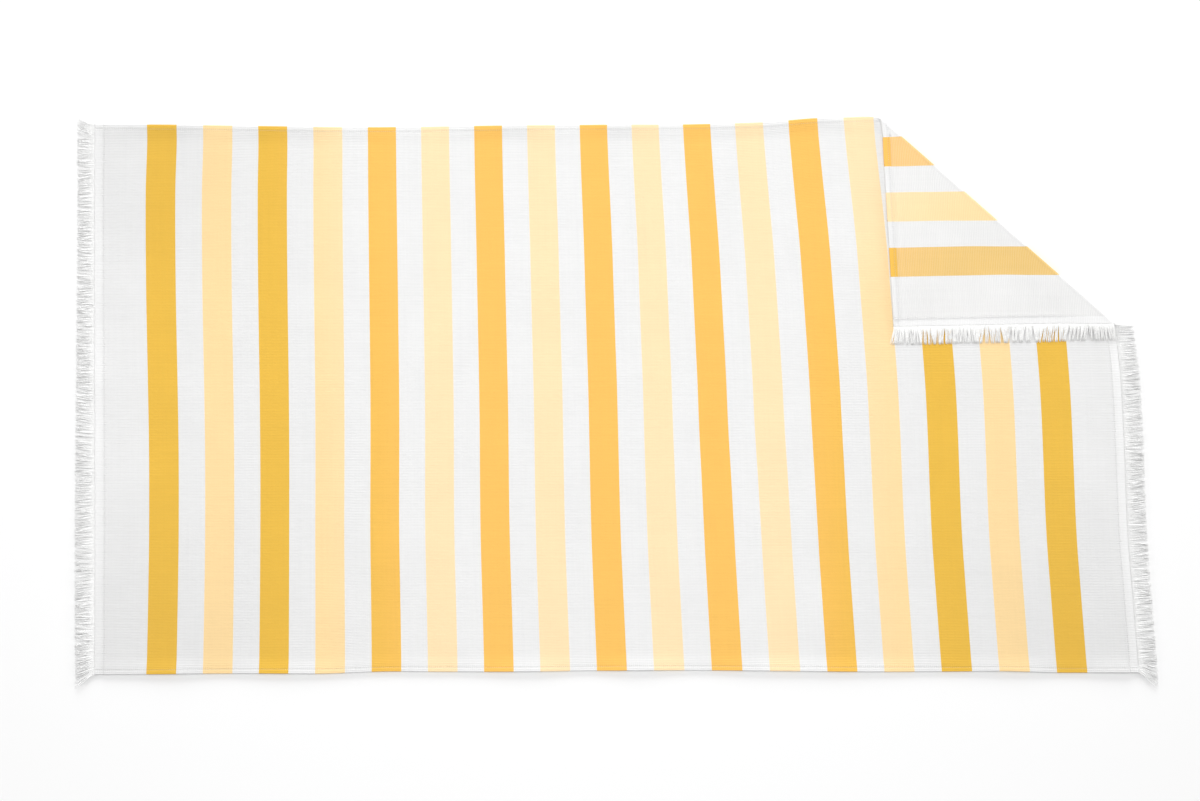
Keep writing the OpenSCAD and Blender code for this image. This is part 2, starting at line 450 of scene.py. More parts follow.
def paintedShadeAndHemTone(bench, parts, u, v, seam, back):
    # How much darker the cloth is: the sum of painted shade in its seams' grooves, painted shade towards its outer
    # corners where the light falls off, and painted shade along the crease's rim, less a share past a seam, where
    # the cloth is lighter.
    # painted shade where the light falls off towards the towel's outer corners, kept off the folded corner
    corners = bench.math("MULTIPLY", bench.step(u, *weave["cornerAlong"]), bench.step(v, *weave["cornerAcross"]))
    alongFar, acrossFar = (bench.math("MAXIMUM", part, 0.0) for part in parts[:2])
    onFold = bench.math("MULTIPLY", alongFar, acrossFar)
    onFold = bench.math("MULTIPLY", onFold, weave["foldClear"])
    corners = bench.math("SUBTRACT", corners, onFold, clamp=True)
    # painted shade along the crease's rolled rim
    crease = bench.add("ShaderNodeAttribute", {"attribute_name": "nearCrease"}).outputs["Fac"]
    # painted shade in the seams' grooves
    shade = bench.math("MULTIPLY", seam, weave["backSeamShade" if back else "seamShade"])
    shade = bench.total(shade, (corners, weave["cornerShade"]), (crease, weave["creaseShade"]))
    if back:
        return shade
    hemLine, endLine = halfWidth - towel["hemStitch"], headingU - towel["endStitch"]
    pastHem = bench.step(v, hemLine, hemLine + weave["hemLightRun"])
    pastEnd = bench.step(u, endLine, headingU)
    return bench.total(shade, (bench.math("MAXIMUM", pastHem, pastEnd), -weave["hemLight"]))


def dyeAndFalloffShare(bench, parts, u):
    # How far a place has gone over to the ends' colour: by its distance from the middle, more towards the near side
    # and less on the far right side. The ends' colour is partly the dye's own and partly painted shade for light
    # falling off towards the ends and near corners.
    farSide = bench.math("MAXIMUM", bench.math("SUBTRACT", parts[1], weave["farLotFrom"]), 0.0)
    farSide = bench.math("MULTIPLY", farSide, bench.math("MAXIMUM", parts[0], 0.0))
    lot = bench.total(u, (parts[1], -weave["nearFalloffSlant"]), (farSide, -weave["farLot"]))
    return bench.step(lot, weave["lotStart"], weave["lotEnd"])


def clothMaterial(name, colour, light, back=False):
    # Colour: the yarn's own, streaked along the warp and clouded, mixed with white loops on the back, and darkened
    # by painted shade at the seams, the outer corners and the crease. Height: ribs along the length, weft lines
    # across it, pile noise, and a groove at each row of stitches.
    material, tree, shader = newMaterial(name)
    bench = NodeBench(tree)
    uv = bench.add("ShaderNodeUVMap", {"uv_map": "flat"}).outputs["UV"]
    parts = bench.add("ShaderNodeSeparateXYZ", {}, {0: uv}).outputs
    u, v = (bench.math("ABSOLUTE", part) for part in parts[:2])
    rib = bench.bands(uv, "Y", weave["rib"], weave["ribWarp"])
    weft = bench.bands(uv, "X", weave["weft"], weave["weftWarp"])
    pile = bench.noise(uv, weave["pile"], 3.0, 0.6)
    streak = bench.noise(bench.stretch(uv, weave["streak"]), 1.0, 3.0, 0.6)
    cross = bench.noise(bench.stretch(uv, weave["cross"]), 1.0, 2.0, 0.5)
    cloud = bench.noise(uv, weave["cloud"], 3.0, 0.55)
    patterns = {"streak": streak, "cross": cross, "cloud": cloud, "rib": rib, "pile": pile}
    tone = bench.total(weave["plainTone"], *((p, weave[key + "Tone"]) for key, p in patterns.items()))
    seam, pucker = seamMarks(bench, uv, u, v)
    # painted shade at the seams, the outer corners and the crease's rim
    shade = paintedShadeAndHemTone(bench, parts, u, v, seam, back)
    tone = bench.math("MULTIPLY", tone, bench.math("SUBTRACT", 1.0, shade))
    # the ends' colour mixed in: partly dye, partly painted shade
    base = bench.mix(dyeAndFalloffShare(bench, parts, u), (*colour[0], 1.0), (*colour[1], 1.0))
    if back:
        loops = bench.math("MULTIPLY", bench.total(pile, (rib, 0.5)), weave["backFleck"])
    else:
        loops = bench.math("MULTIPLY", bench.math("POWER", pile, 3.0), weave["frontFleck"])
    base = bench.mix(loops, base, (*light, 1.0))
    toneColour = bench.add("ShaderNodeCombineColor", {}, {0: tone, 1: tone, 2: tone}).outputs[0]
    tree.links.new(bench.mix(1.0, base, toneColour, "MULTIPLY"), shader.inputs["Base Color"])
    height = bench.total(
        bench.math("MULTIPLY", rib, weave["ribHeight"]),
        (weft, weave["weftHeight"]),
        (pile, weave["backPileHeight" if back else "pileHeight"]),
        (pucker, weave["puckerHeight"]),
        (seam, -weave["backSeamDepth" if back else "seamDepth"]),
    )
    finishShader(bench, shader, height, weave)
    return material


def finishShader(bench, shader, height, look):
    # The bump from the height, and the same dull finish all over.
    inputs = {"Strength": look["bumpStrength"], "Distance": look["bumpHeight"], "Height": height}
    relief = bench.add("ShaderNodeBump", {}, inputs)
    bench.tree.links.new(relief.outputs["Normal"], shader.inputs["Normal"])
    shader.inputs["Roughness"].default_value = look["roughness"]
    shader.inputs["Sheen Weight"].default_value = look["sheen"]
    shader.inputs["Sheen Roughness"].default_value = look["sheenRoughness"]
    shader.inputs["Specular IOR Level"].default_value = look["specular"]


# What the fringe's yarn and the sewing thread look like.
yarn = {
    "twist": 0.0022,
    "threadTwist": 0.0009,
    "twistWarp": 0.5,
    "fluff": 2400.0,
    "run": 60.0,
    "plainTone": 0.84,
    "plyTone": 0.14,
    "fluffTone": 0.08,
    "runTone": 0.06,
    # painted shade towards the tip and at the root, and painted shadows near the tips of a few strands
    "tipShade": 0.03,
    "rootShade": 0.11,
    "cornerRootShade": 0.02,
    "rootRidge": (0.001, 0.009),
    "tipShadowShare": 0.5,
    "cornerTipShadowShare": 0.15,
    "tipShadowPick": (0.56, 0.68),
    "tipShadowAlong": (0.5, 0.9),
    "eachStrand": (0.0, 31.0, 1.0),
    "apart": 0.037,
    "fluffHeight": 0.5,
    "bumpHeight": 0.00012,
    "bumpStrength": 0.7,
    "roughness": 0.9,
    "sheen": 0.15,
    "sheenRoughness": 0.5,
    "specular": 0.2,
}


def yarnMaterial(name, colour, twist, rootShade=yarn["rootShade"], tipShadowShare=yarn["tipShadowShare"]):
    # Colour: the yarn's own, uneven along it, with painted shade at its root and a little towards its tip, and on a
    # few strands a
    # painted shadow near the tip. Height: two plies that wind round it once in each length of twist.
    material, tree, shader = newMaterial(name)
    bench = NodeBench(tree)
    uv = bench.add("ShaderNodeUVMap", {"uv_map": "flat"}).outputs["UV"]
    along = bench.add("ShaderNodeSeparateXYZ", {}, {0: uv}).outputs[0]
    ply = bench.bands(uv, "DIAGONAL", twist, yarn["twistWarp"])
    fluff = bench.noise(uv, yarn["fluff"], 3.0, 0.6)
    run = bench.noise(uv, yarn["run"], 2.0, 0.5)
    tone = bench.total(
        yarn["plainTone"], (ply, yarn["plyTone"]), (fluff, yarn["fluffTone"]), (run, yarn["runTone"])
    )
    # painted shadow near the tips of a few strands, picked by a noise that changes from strand to strand
    strand = bench.noise(bench.stretch(uv, yarn["eachStrand"]), 1.0, 0.0)
    nearTip = bench.step(along, *(share * towel["fringe"] for share in yarn["tipShadowAlong"]))
    paintedTipShadow = bench.math("MULTIPLY", bench.math("MULTIPLY", bench.step(strand, *yarn["tipShadowPick"]), tipShadowShare), nearTip)
    share = bench.math("MULTIPLY", along, 1 / towel["fringe"], clamp=True)
    # painted shade: the tip shadows, a little towards the tip, and at the root
    shade = bench.total(paintedTipShadow, (share, yarn["tipShade"]), (bench.ridge(along, *yarn["rootRidge"]), rootShade))
    tone = bench.math("MULTIPLY", tone, bench.math("SUBTRACT", 1.0, shade))
    toneColour = bench.add("ShaderNodeCombineColor", {}, {0: tone, 1: tone, 2: tone}).outputs[0]
    tree.links.new(bench.mix(1.0, (*colour, 1.0), toneColour, "MULTIPLY"), shader.inputs["Base Color"])
    finishShader(bench, shader, bench.total(ply, (fluff, yarn["fluffHeight"])), yarn)
    return material


# Yarn colours, in linear light: in the middle of the towel, and towards its ends, where the gold and pale took the
# dye differently and all are darker as painted shade for light falling off there.
dye = {
    "white": ((0.782, 0.782, 0.782), (0.762, 0.762, 0.762)),
    "gold": ((0.895, 0.503, 0.102), (0.775, 0.464, 0.049)),
    "pale": ((0.935, 0.715, 0.42), (0.925, 0.665, 0.32)),
    "loops": (0.86, 0.85, 0.82),
    "paleLoops": (0.93, 0.78, 0.53),
    "heading": ((0.82, 0.82, 0.82), (0.81, 0.81, 0.81)),
    "fringe": (0.93, 0.93, 0.925),
    # the fringe's own yarn, painted lighter as painted light where it lies on the folded corner
    "cornerFringe": (0.96, 0.96, 0.95),
    "thread": (0.86, 0.86, 0.85),
}
whiteFront = clothMaterial("white cotton front", dye["white"], dye["loops"])
whiteBack = clothMaterial("white cotton back", dye["white"], dye["loops"], back=True)
goldFront = clothMaterial("gold cotton front", dye["gold"], dye["pale"][0])
goldBack = clothMaterial("gold cotton back", dye["gold"], dye["loops"], back=True)
paleFront = clothMaterial("pale cotton front", dye["pale"], dye["loops"])
paleBack = clothMaterial("pale cotton back", dye["pale"], dye["paleLoops"], back=True)
headingFront = clothMaterial("white heading weave", dye["heading"], dye["loops"])
fringeYarn = yarnMaterial("fringe yarn", dye["fringe"], yarn["twist"])
# the corner's fringe: the same yarn painted lighter, with less painted shade at its root and fewer painted tip
# shadows
cornerYarn = yarnMaterial(
    "corner fringe yarn", dye["cornerFringe"], yarn["twist"], yarn["cornerRootShade"], yarn["cornerTipShadowShare"]
)
sewingThread = yarnMaterial("sewing thread", dye["thread"], yarn["threadTwist"])
whiteCloth = [whiteFront, whiteBack, whiteFront, whiteFront]
goldCloth = [goldFront, goldBack, goldFront, goldFront]
paleCloth = [paleFront, paleBack, paleFront, paleFront]
headingCloth = [headingFront, headingFront, headingFront, headingFront]
print("materials made")

# How finely the cloth's grid is laid, in metres.
grid = {
    "alongStep": 0.0042,
    "acrossStep": 0.0066,
    "hemStep": 0.0004,
    "edgeRows": (0.0012, 0.0035),
    "stitchRow": 0.0012,
}


def acrossRows():
    # Distances across the towel: close together at each hem, even between.
    hem, seam = towel["hem"], towel["hemStitch"]
    bySeam = (seam - grid["stitchRow"], seam, seam + grid["stitchRow"])
    edge = halfWidth - np.array([0, *grid["edgeRows"], *bySeam, hem - grid["hemStep"], hem])
    innerHalf = halfWidth - hem
    inner = np.linspace(-innerHalf, innerHalf, int(round(2 * innerHalf / grid["acrossStep"])) + 1)[1:-1]
    return np.concatenate([-edge, inner, edge[::-1]])


def bandGrid(u0, u1, rows):
    # Every pair of a distance along and one across, as a grid of quads that face up.
    columns = np.linspace(u0, u1, max(2, int(math.ceil((u1 - u0) / grid["alongStep"])) + 1))
    u, v = np.meshgrid(columns, rows)
    index = np.arange(u.size).reshape(u.shape)
    quads = np.stack([index[:-1, :-1], index[:-1, 1:], index[1:, 1:], index[1:, :-1]], -1).reshape(-1, 4)
    return u.ravel(), v.ravel(), quads


def flatMesh(name, bands, rows):
    # The bands' grids side by side, flat, with each point's place on the cloth kept as two attributes.
    us, vs, faces, count = [], [], [], 0
    for u0, u1 in bands:
        u, v, quads = bandGrid(u0, u1, rows)
        us.append(u)
        vs.append(v)
        faces.append(quads + count)
        count += len(u)
    u, v, faces = np.concatenate(us), np.concatenate(vs), np.concatenate(faces)
    x, y = layFlat(u, v)
    mesh = bpy.data.meshes.new(name)
    mesh.from_pydata(np.stack([x, y, 0 * x], -1), [], faces)
    for key, values in (("alongCloth", u), ("acrossCloth", v)):
        mesh.attributes.new(key, "FLOAT", "POINT").data.foreach_set("value", values.astype(np.float32))
    return mesh


def cutMesh(mesh, low, high, lines=()):
    # Keeps what lies between two distances from the crease, and adds an edge line at each further distance.
    bench = bmesh.new()
    bench.from_mesh(mesh)
    cuts = [(low, "clear_inner")] * (low is not None) + [(high, "clear_outer")] * (high is not None)
    for distance, clear in cuts + [(d, None) for d in lines]:
        bmesh.ops.bisect_plane(
            bench,
            geom=bench.verts[:] + bench.edges[:] + bench.faces[:],
            dist=1e-6,
            plane_co=creaseStart + creaseOut * distance,
            plane_no=creaseOut,
            **({clear: True} if clear else {}),
        )
    bench.to_mesh(mesh)
    bench.free()


def pointValues(mesh, key):
    # One of the mesh's attributes as an array, a value for each point.
    values = np.zeros(len(mesh.vertices), np.float32)
    mesh.attributes[key].data.foreach_get("value", values)
    return values.astype(float)


def clothPiece(name, bands, materials, low=None, high=None, lines=(), thick=None, hemmed=True):
    # A sheet through the middle of the cloth, which the Solidify modifier thickens to both sides, more at the hems.
    rows = acrossRows()
    mesh = flatMesh(name, bands, rows)
    if low is not None or high is not None:
        cutMesh(mesh, low, high, lines)
    u, v = pointValues(mesh, "alongCloth"), pointValues(mesh, "acrossCloth")
    thin = thick or towel["cloth"]
    inHem = (np.abs(v) > halfWidth - towel["hem"] + 0.5 * grid["hemStep"]) & hemmed
    half = np.where(inHem, towel["hemThick"], thin) / 2
    mesh.vertices.foreach_set("co", clothMid(u, v, half).astype(np.float32).ravel())
    # how near each point is to the crease, which sets the painted shade along its rim
    atCrease = bump(beyondCrease(*layFlat(u, v)), fold["shadeWide"])
    mesh.attributes.new("nearCrease", "FLOAT", "POINT").data.foreach_set("value", atCrease.astype(np.float32))
    corner = np.zeros(len(mesh.loops), np.int32)
    mesh.loops.foreach_get("vertex_index", corner)
    uv = mesh.uv_layers.new(name="flat")
    uv.data.foreach_set("uv", np.stack([u[corner], v[corner]], -1).astype(np.float32).ravel())
    starts = np.zeros(len(mesh.polygons), np.int32)
    totals = np.zeros(len(mesh.polygons), np.int32)
    mesh.polygons.foreach_get("loop_start", starts)
    mesh.polygons.foreach_get("loop_total", totals)
    middleV = np.add.reduceat(np.abs(v[corner]), starts) / totals
    hemFace = (middleV > halfWidth - towel["hem"]) & hemmed
    mesh.polygons.foreach_set("material_index", np.where(hemFace, 2, 0).astype(np.int32))
    mesh.polygons.foreach_set("use_smooth", np.ones(len(mesh.polygons), bool))
    edges = np.zeros(len(mesh.loops), np.int32)
    mesh.loops.foreach_get("edge_index", edges)
    used = np.bincount(edges, minlength=len(mesh.edges))
    ends = np.zeros(len(mesh.edges) * 2, np.int32)
    mesh.edges.foreach_get("vertices", ends)
    alongSide = np.abs(v[ends]).reshape(-1, 2).min(1) > halfWidth - 1e-5
    sharp = mesh.attributes.new("sharp_edge", "BOOLEAN", "EDGE")
    sharp.data.foreach_set("value", (used == 1) & ~alongSide)
    for key in ("alongCloth", "acrossCloth"):
        mesh.attributes.remove(mesh.attributes[key])
    for material in materials:
        mesh.materials.append(material)
    mesh.update()
    piece = bpy.data.objects.new(name, mesh)
    bpy.context.scene.collection.objects.link(piece)
    group = piece.vertex_groups.new(name="thickness")
    most = towel["hemThick"] if hemmed else thin
    group.add(np.flatnonzero(~inHem).tolist(), thin / most, "REPLACE")
    group.add(np.flatnonzero(inHem).tolist(), 1.0, "REPLACE")
    solid = piece.modifiers.new("cloth", "SOLIDIFY")
    solid.thickness = most
    solid.offset = 0
    solid.vertex_group = "thickness"
    solid.material_offset = 1
    solid.use_even_offset = False
    return piece


def stripeBands(first, step=2):
    # Where each stripe starts and ends: the first edge plus the pitch times its number.
    starts = -stripedHalf + pitch * np.arange(first, towel["stripes"], step)
    return [(s, s + towel["stripe"]) for s in starts]


goldBands = stripeBands(0)
paleBands = stripeBands(1)
whiteBands = [(a + towel["stripe"], a + pitch) for a, b in stripeBands(0, 1)[:-1]]
endBand = (stripedHalf, headingU)
headingBand = (headingU, endU)
strip = fold["strip"]
rollLines = [strip * k / fold["cuts"] for k in range(1 - fold["cuts"], fold["cuts"])]
main = {"high": -strip}
corner = {"low": strip}
crease = {"low": -strip, "high": strip, "lines": rollLines}
reach = 4  # the last stripes and gaps, which the crease can cut

cloth = {
    "whiteGround": clothPiece("whiteGround", whiteBands, whiteCloth, **main),
    "goldStripes": clothPiece("goldStripes", goldBands, goldCloth, **main),
    "paleStripes": clothPiece("paleStripes", paleBands, paleCloth, **main),
    "leftEndBand": clothPiece("leftEndBand", [(-headingU, -stripedHalf)], whiteCloth),
    "rightEndBand": clothPiece("rightEndBand", [endBand], whiteCloth, **main),
    "cornerWhite": clothPiece("cornerWhite", whiteBands[-reach:], whiteCloth, **corner),
    "cornerGold": clothPiece("cornerGold", goldBands[-reach:], goldCloth, **corner),
    "cornerPale": clothPiece("cornerPale", paleBands[-reach:], paleCloth, **corner),
    "cornerEndBand": clothPiece("cornerEndBand", [endBand], whiteCloth, **corner),
    "creaseWhite": clothPiece("creaseWhite", whiteBands[-reach:] + [endBand], whiteCloth, **crease),
    "creaseGold": clothPiece("creaseGold", goldBands[-reach:], goldCloth, **crease),
    "creasePale": clothPiece("creasePale", paleBands[-reach:], paleCloth, **crease),
}
plain = {"thick": towel["headingThick"], "hemmed": False}
heading = {
    "leftHeading": clothPiece("leftHeading", [(-endU, -headingU)], headingCloth, **plain),
    "rightHeading": clothPiece("rightHeading", [headingBand], headingCloth, **plain, **main),
    "cornerHeading": clothPiece("cornerHeading", [headingBand], headingCloth, **plain, **corner),
    "creaseHeading": clothPiece("creaseHeading", [headingBand], headingCloth, **plain, **crease),
}
print("cloth woven in", len(cloth) + len(heading), "pieces")


def tubes(name, paths, radii, sides, material):
    # Rings of points about each path, radius times (cosine along the sideways arrow, sine along the other), capped.
    count, stations = paths.shape[:2]
    tangent = np.gradient(paths, axis=1)
    tangent /= np.linalg.norm(tangent, axis=-1, keepdims=True)
    sideways = np.cross(tangent, np.array([0.0, 0.0, 1.0]))
    sideways /= np.linalg.norm(sideways, axis=-1, keepdims=True)
    upwards = np.cross(sideways, tangent)
    angle = 2 * np.pi * np.arange(sides) / sides
    ring = sideways[:, :, None] * np.cos(angle)[:, None] + upwards[:, :, None] * np.sin(angle)[:, None]
    points = paths[:, :, None] + ring * radii[..., None, None]
    index = np.arange(count * stations * sides).reshape(count, stations, sides)
    beside = np.roll(index, -1, axis=2)
    quads = np.stack([index[:, :-1], index[:, 1:], beside[:, 1:], beside[:, :-1]], -1).reshape(-1, 4)
    caps = np.concatenate([index[:, 0], index[:, -1, ::-1]])
    mesh = bpy.data.meshes.new(name)
    mesh.from_pydata(points.reshape(-1, 3), [], quads.tolist() + caps.tolist())
    run = np.concatenate([np.zeros((count, 1)), np.cumsum(np.linalg.norm(np.diff(paths, axis=1), axis=-1), 1)], 1)
    girth = 2 * np.pi * np.arange(sides + 1) / sides * radii.max() + yarn["apart"] * np.arange(count)[:, None]
    low, high = run[:, :-1, None], run[:, 1:, None]
    left, right = girth[:, None, :-1], girth[:, None, 1:]
    shape = (count, stations - 1, sides)
    corners = ((low, left), (high, left), (high, right), (low, right))
    quadUv = np.stack([np.stack(np.broadcast_arrays(*corner), -1) for corner in corners], 3)
    quadUv = np.broadcast_to(quadUv, shape + (4, 2)).reshape(-1, 2)
    capUv = np.stack([np.concatenate([run[:, 0], run[:, -1]]), np.concatenate([girth[:, 0], girth[:, 0]])], -1)
    uv = np.concatenate([quadUv, np.repeat(capUv, sides, axis=0)])
    mesh.uv_layers.new(name="flat").data.foreach_set("uv", uv.astype(np.float32).ravel())
    mesh.polygons.foreach_set("use_smooth", np.ones(len(mesh.polygons), bool))
    mesh.materials.append(material)
    mesh.update()
    piece = bpy.data.objects.new(name, mesh)
    bpy.context.scene.collection.objects.link(piece)
    return piece


stitch = {
    "pitch": 0.0036,
    "length": 0.0026,
    "radius": 0.00028,
    "shares": (0.55, 1, 1, 0.55),
    "dips": (0.0003, 0.0001, 0.0001, 0.0003),
}


def stitchRow(u, v, byU, byV, half, faces=(1, -1)):
    # Each stitch is a short run of points on the cloth's face, whose two ends dip into it. One row for each face.
    reach = np.linspace(-0.5, 0.5, len(stitch["dips"])) * stitch["length"]
    uu = u[:, None] + reach * byU + 0 * v[:, None]
    vv = v[:, None] + reach * byV + 0 * u[:, None]
    mid = clothMid(uu, vv, half)
    normal = clothNormal(uu, vv, half)
    above = half - np.array(stitch["dips"])
    return [mid + normal * side * above[:, None] for side in faces]


def stitchPiece(name, rows):
    # A tube about every stitch, thinner at its two ends.
    paths = np.concatenate(rows)
    radii = np.broadcast_to(stitch["radius"] * np.array(stitch["shares"]), paths.shape[:2])
    return tubes(name, paths, radii, 4, sewingThread)


def placesAlong(low, high):
    # The middles of as many equal lengths as there are whole pitches.
    count = int((high - low) / stitch["pitch"])
    return low + (np.arange(count) + 0.5) * (high - low) / count


def kept(u, v, low, high):
    # The places whose distance beyond the crease lies between the two.
    c = beyondCrease(*layFlat(u, v))
    return (c > low) & (c < high)


hemHalf, clothHalf = towel["hemThick"] / 2, towel["cloth"] / 2
hemU = placesAlong(-headingU, headingU)
hemV = np.full(len(hemU), halfWidth - towel["hemStitch"])
endV = placesAlong(-halfWidth + towel["hem"], halfWidth - towel["hem"])
seamU = np.full(len(endV), headingU - towel["endStitch"])


def hemRows(sign, low, high):
    # The part of one long side's rows that lies between two distances beyond the crease.
    keep = kept(hemU, sign * hemV, low, high)
    return stitchRow(hemU[keep], sign * hemV[keep], 1, 0, hemHalf)


def endRows(sign, low, high):
    # The same for the rows across one end.
    keep = kept(sign * seamU, endV, low, high)
    return stitchRow(sign * seamU[keep], endV[keep], 0, 1, clothHalf)


far = 9.0  # beyond either end of the towel
stitches = {
    "nearHemStitches": stitchPiece("nearHemStitches", hemRows(-1, -far, far)),
    "farHemStitches": stitchPiece("farHemStitches", hemRows(1, -far, -strip)),
    "cornerHemStitches": stitchPiece("cornerHemStitches", hemRows(1, strip, far)),
    "leftEndStitches": stitchPiece("leftEndStitches", endRows(-1, -far, far)),
    "rightEndStitches": stitchPiece("rightEndStitches", endRows(1, -far, -strip)),
    "cornerEndStitches": stitchPiece("cornerEndStitches", endRows(1, strip, far)),
    "creaseStitches": stitchPiece("creaseStitches", hemRows(1, -strip, strip) + endRows(1, -strip, strip)),
}
print("stitches sewn")

fringe = {
    "tuftPitch": 0.0055,
    "strands": 10,
    "cornerStrands": 11,
    "radius": 0.00046,
    "stations": 8,
    "sides": 5,
    "gather": 0.32,
    "cornerGather": 0.46,
    "gatherSpread": 0.24,
    "gatherMost": 0.95,
    "gatherRun": 0.92,
    "stray": 0.0010,
    "tuftLean": 0.0013,
    "slowLean": 0.0030,
    "leanWalk": 0.5,
    "curl": 0.0006,
    "curlTurns": 5,
    "ragged": 0.05,
    "uneven": 0.03,
    "lift": 0.0014,
    "tipLift": 0.0028,
    "cornerTipLift": 0.0009,
    "splayWide": 0.013,
    "inside": 0.001,
    "fallRange": (0.75, 1.3),
    "restShare": 1.15,
    "humpPower": 1.5,
    "taperAt": (0, 0.1, 0.8, 0.96, 1),
    "taper": (0.8, 1, 0.95, 0.7, 0.3),
    "radiusRange": (0.85, 1.15),
    "creaseGap": 0.0025,
}


def rootFrame(u, v):
    # The flat cloth's directions along and across at its edge, mirrored in the crease where the corner is folded.
    step = 1e-3
    byU = (np.stack(layFlat(u + step, v), -1) - np.stack(layFlat(u - step, v), -1)) / (2 * step)
    byV = (np.stack(layFlat(u, v + step), -1) - np.stack(layFlat(u, v - step), -1)) / (2 * step)
    turned = (beyondCrease(*layFlat(u, v)) > 0)[..., None]
    out = creaseOut[:2]
    return [np.where(turned, d - 2 * (d @ out)[..., None] * out, d) for d in (byU, byV)]


def fringeEnd(name, sign, low, high, splayLow, splayHigh, longNear, longFar, onCorner=False):
    # A strand runs straight out from its root to its length, drawn sideways to the tip that its tuft shares, by a
    # smooth step, with a little curl, and it sinks from the heading to what lies below. The tufts at a corner splay.
    tufts = int(round((high - low) / fringe["tuftPitch"]))
    centre = low + (np.arange(tufts) + 0.5) * (high - low) / tufts
    width = (high - low) / tufts
    strands = fringe["cornerStrands" if onCorner else "strands"]
    root = centre[:, None] + (np.arange(strands) + 0.5 - strands / 2) / strands * width
    shape = root.shape
    lean = rng.normal(0, fringe["tuftLean"], tufts)
    lean = lean + fringe["slowLean"] * np.sin(np.cumsum(rng.normal(0, fringe["leanWalk"], tufts)))
    draw = rng.normal(fringe["cornerGather" if onCorner else "gather"], fringe["gatherSpread"], tufts)
    draw = np.clip(draw, 0.0, fringe["gatherMost"])
    tip = root + (centre[:, None] - root) * draw[:, None] + lean[:, None] + rng.normal(0, fringe["stray"], shape)
    tip += splayLow * np.exp(-(root - low) / fringe["splayWide"])
    tip += splayHigh * np.exp(-(high - root) / fringe["splayWide"])
    share = (root + halfWidth) / towel["width"]
    length = towel["fringe"] * (longNear + (longFar - longNear) * share)
    length = length * (1 - fringe["uneven"] * rng.random(tufts)[:, None] - fringe["ragged"] * rng.random(shape))
    curl = rng.normal(0, fringe["curl"], shape)
    phase = rng.random(shape) * 2 * np.pi
    lift = fringe["lift"] * rng.random(shape)
    sag = rng.uniform(*fringe["fallRange"], shape)
    s = np.linspace(0, 1, fringe["stations"])
    curled = curl[..., None] * s * np.sin(fringe["curlTurns"] * s + phase[..., None])
    aside = (tip - root)[..., None] * ease(s * fringe["gatherRun"]) + curled
    ahead = (length[..., None] + fringe["inside"]) * s - fringe["inside"]
    root, aside, ahead = root.ravel(), aside.reshape(-1, len(s)), ahead.reshape(-1, len(s))
    half = towel["headingThick"] / 2
    edge = np.full(len(root), sign * endU)
    start = clothMid(edge, root, half)
    byU, byV = rootFrame(edge, root)
    paths = np.zeros(aside.shape + (3,))
    paths[..., :2] = start[:, None, :2] + sign * ahead[..., None] * byU[:, None] + aside[..., None] * byV[:, None]
    rootZ = start[:, 2:]
    below = floorWave(paths[..., 0], paths[..., 1]) + towel["cloth"] if onCorner else 0 * ahead
    tipLift = fringe["cornerTipLift" if onCorner else "tipLift"] * rng.random((len(root), 1))
    rest = below + fringe["radius"] * fringe["restShare"] + tipLift * s
    fall = ease(s * sag.reshape(-1, 1))
    hump = lift.reshape(-1, 1) * np.sin(np.pi * s) ** fringe["humpPower"]
    paths[..., 2] = rootZ + (rest - rootZ) * fall + hump
    taper = np.interp(s, fringe["taperAt"], fringe["taper"])
    radii = fringe["radius"] * rng.uniform(*fringe["radiusRange"], (len(paths), 1)) * taper
    return tubes(name, paths, radii, fringe["sides"], cornerYarn if onCorner else fringeYarn)


# For each end: how far its near and far corners splay, and how long its yarns are there beside the usual.
ends = {
    "leftFringe": (-0.024, 0.010, 1.06, 0.92),
    "rightFringe": (-0.029, 0.0, 1.04, 1.07),
    "cornerFringe": (0.0, 0.013, 1.03, 1.03),
}
beforeCrease, pastCrease = creaseEndV - fringe["creaseGap"], creaseEndV + fringe["creaseGap"]
fringes = {
    "leftFringe": fringeEnd("leftFringe", -1, -halfWidth, halfWidth, *ends["leftFringe"]),
    "rightFringe": fringeEnd("rightFringe", 1, -halfWidth, beforeCrease, *ends["rightFringe"]),
    "cornerFringe": fringeEnd("cornerFringe", 1, pastCrease, halfWidth, *ends["cornerFringe"], onCorner=True),
}
print("fringes made")

